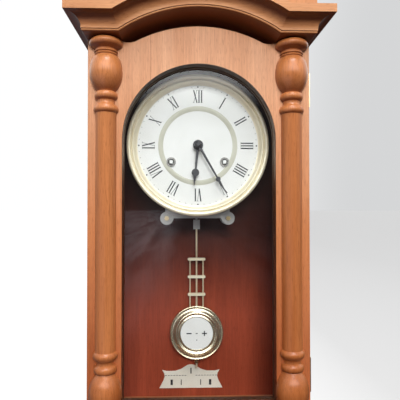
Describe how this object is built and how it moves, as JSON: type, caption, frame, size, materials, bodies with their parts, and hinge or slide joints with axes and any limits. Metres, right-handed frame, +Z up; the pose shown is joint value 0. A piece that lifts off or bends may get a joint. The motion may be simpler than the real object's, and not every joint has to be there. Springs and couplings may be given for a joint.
{
  "type": "pendulum wall clock",
  "caption": "Wooden wall clock with an arched moulded hood, turned half columns and a glazed door over a round Roman dial, a swinging pendulum and a striking movement.",
  "frame": {"origin": "centre of the hanger hole, on the wall plane behind the back board", "axes": "+Z up, +Y into the wall, +X to the right as the dial is read; the front faces -Y"},
  "size_m": [0.296, 0.142, 0.5515],
  "materials": {
    "wood_case": "satin varnish",
    "wood_door": "satin varnish",
    "wood_back": "dark stained",
    "brass": "polished",
    "steel": "plain",
    "spring_steel": "hardened",
    "zinc": "plain",
    "black_metal": "satin black",
    "dial_white": "enamelled white",
    "ring_gilt": "matt gilt",
    "cream": "printed cream",
    "glass": "clear",
    "magnet": "dull black"
  },
  "bodies": {
    "case": {"back_board": "wood_back", "hanger_plate": "steel", "side_panels": "wood_case", "floor_board": "wood_case", "top_board": "wood_case", "tympanum_board": "wood_case", "pediment_block": "wood_case", "crest_board": "wood_case", "cornice_arch_moulding": "wood_case", "cornice_straight_mouldings": "wood_case", "base_mouldings": "wood_case", "base_block": "wood_case", "door_magnet": "magnet", "hinge_case_leaves": "brass", "movement_back_plate": "steel", "movement_front_plate": "steel", "plate_pillars": "brass", "movement_standoffs": "brass", "suspension_cock": "brass", "dial_plate": "dial_white", "dial_bezel": "brass", "dial_centre_ring": "ring_gilt", "dial_feet": "brass", "winding_eyelets": "brass", "mainsprings": "spring_steel", "gong_coil": "spring_steel", "gong_post": "steel", "beat_plate": "cream"},
    "door": {"door_arch_rail": "wood_door", "door_bottom_rail": "wood_door", "door_stiles": "wood_door", "door_columns": "wood_door", "door_glass": "glass", "glass_beads": "wood_door", "catch_plate": "steel", "hinge_door_leaves": "brass"},
    "minute_work": {"minute_hand": "black_metal", "cannon_pinion": "brass"},
    "minute_wheel": {"minute_wheel": "brass"},
    "hour_work": {"hour_wheel": "brass", "hour_hand": "black_metal"},
    "second_wheel": {"second_wheel": "brass"},
    "centre_wheel": {"centre_wheel": "brass"},
    "third_wheel": {"third_wheel": "brass"},
    "escape_wheel": {"escape_wheel": "brass"},
    "time_great_wheel": {"time_great_wheel": "brass"},
    "strike_great_wheel": {"strike_great_wheel": "brass"},
    "time_winding_arbor": {"time_winding_arbor": "steel"},
    "strike_winding_arbor": {"strike_winding_arbor": "steel"},
    "pin_wheel": {"pin_wheel": "brass"},
    "fly": {"fly": "steel"},
    "strike_hammer": {"strike_hammer": "steel"},
    "verge": {"verge": "steel"},
    "pendulum": {"suspension_spring": "spring_steel", "pendulum_leader": "brass", "pendulum_rods": "zinc", "pendulum_crossbars": "brass", "pendulum_bob": "brass", "bob_disc": "dial_white", "rating_nut": "brass"}
  },
  "joints": [
    {"name": "door_hinge", "type": "hinge", "parent": "case", "child": "door", "pos_m": [0.1324, -0.08175, -0.2078], "axis": [0, 0, 1], "range_deg": [0, 115]},
    {"name": "minute_turn", "type": "hinge", "parent": "case", "child": "minute_work", "pos_m": [0, -0.06, -0.1], "axis": [0, 1, 0], "continuous": true},
    {"name": "minute_wheel_turn", "type": "hinge", "parent": "case", "child": "minute_wheel", "pos_m": [0.0072, -0.054, -0.11247], "axis": [0, 1, 0], "continuous": true},
    {"name": "hour_turn", "type": "hinge", "parent": "case", "child": "hour_work", "pos_m": [0, -0.06, -0.1], "axis": [0, 1, 0], "continuous": true},
    {"name": "escape_turn", "type": "hinge", "parent": "case", "child": "escape_wheel", "pos_m": [0, -0.04, -0.06112], "axis": [0, 1, 0], "continuous": true},
    {"name": "third_turn", "type": "hinge", "parent": "case", "child": "third_wheel", "pos_m": [-0.00688, -0.04, -0.07883], "axis": [0, 1, 0], "continuous": true},
    {"name": "centre_turn", "type": "hinge", "parent": "case", "child": "centre_wheel", "pos_m": [0, -0.04, -0.1], "axis": [0, 1, 0], "continuous": true},
    {"name": "second_turn", "type": "hinge", "parent": "case", "child": "second_wheel", "pos_m": [0.02014, -0.04, -0.09039], "axis": [0, 1, 0], "continuous": true},
    {"name": "time_great_turn", "type": "hinge", "parent": "case", "child": "time_great_wheel", "pos_m": [0.034, -0.04, -0.121], "axis": [0, 1, 0], "continuous": true},
    {"name": "fly_turn", "type": "hinge", "parent": "case", "child": "fly", "pos_m": [-0.03875, -0.04, -0.08495], "axis": [0, 1, 0], "continuous": true},
    {"name": "pin_wheel_turn", "type": "hinge", "parent": "case", "child": "pin_wheel", "pos_m": [-0.02474, -0.04, -0.0887], "axis": [0, 1, 0], "continuous": true},
    {"name": "strike_great_turn", "type": "hinge", "parent": "case", "child": "strike_great_wheel", "pos_m": [-0.034, -0.04, -0.121], "axis": [0, 1, 0], "continuous": true},
    {"name": "time_winding", "type": "hinge", "parent": "case", "child": "time_winding_arbor", "pos_m": [0.034, -0.04, -0.121], "axis": [0, 1, 0], "continuous": true},
    {"name": "strike_winding", "type": "hinge", "parent": "case", "child": "strike_winding_arbor", "pos_m": [-0.034, -0.04, -0.121], "axis": [0, 1, 0], "continuous": true},
    {"name": "hammer_lift", "type": "hinge", "parent": "case", "child": "strike_hammer", "pos_m": [-0.036, -0.012, -0.064], "axis": [0, 1, 0], "range_deg": [0, 25]},
    {"name": "pendulum_swing", "type": "hinge", "parent": "case", "child": "pendulum", "pos_m": [0, -0.017, -0.043], "axis": [0, 1, 0], "range_deg": [-4, 4]},
    {"name": "verge_rock", "type": "hinge", "parent": "case", "child": "verge", "pos_m": [0, -0.022, -0.043], "axis": [0, 1, 0], "range_deg": [-4, 4]}
  ],
  "couplings": [
    {"joint": "minute_wheel_turn", "follows": "minute_turn", "ratio": -0.33333},
    {"joint": "hour_turn", "follows": "minute_turn", "ratio": 0.083333},
    {"joint": "third_turn", "follows": "escape_turn", "ratio": -0.11111},
    {"joint": "centre_turn", "follows": "escape_turn", "ratio": 0.011574},
    {"joint": "second_turn", "follows": "escape_turn", "ratio": -0.0023148},
    {"joint": "time_great_turn", "follows": "escape_turn", "ratio": 0.0003858},
    {"joint": "pin_wheel_turn", "follows": "fly_turn", "ratio": -0.20833},
    {"joint": "strike_great_turn", "follows": "fly_turn", "ratio": 0.034722},
    {"joint": "verge_rock", "follows": "pendulum_swing", "ratio": 1}
  ]
}
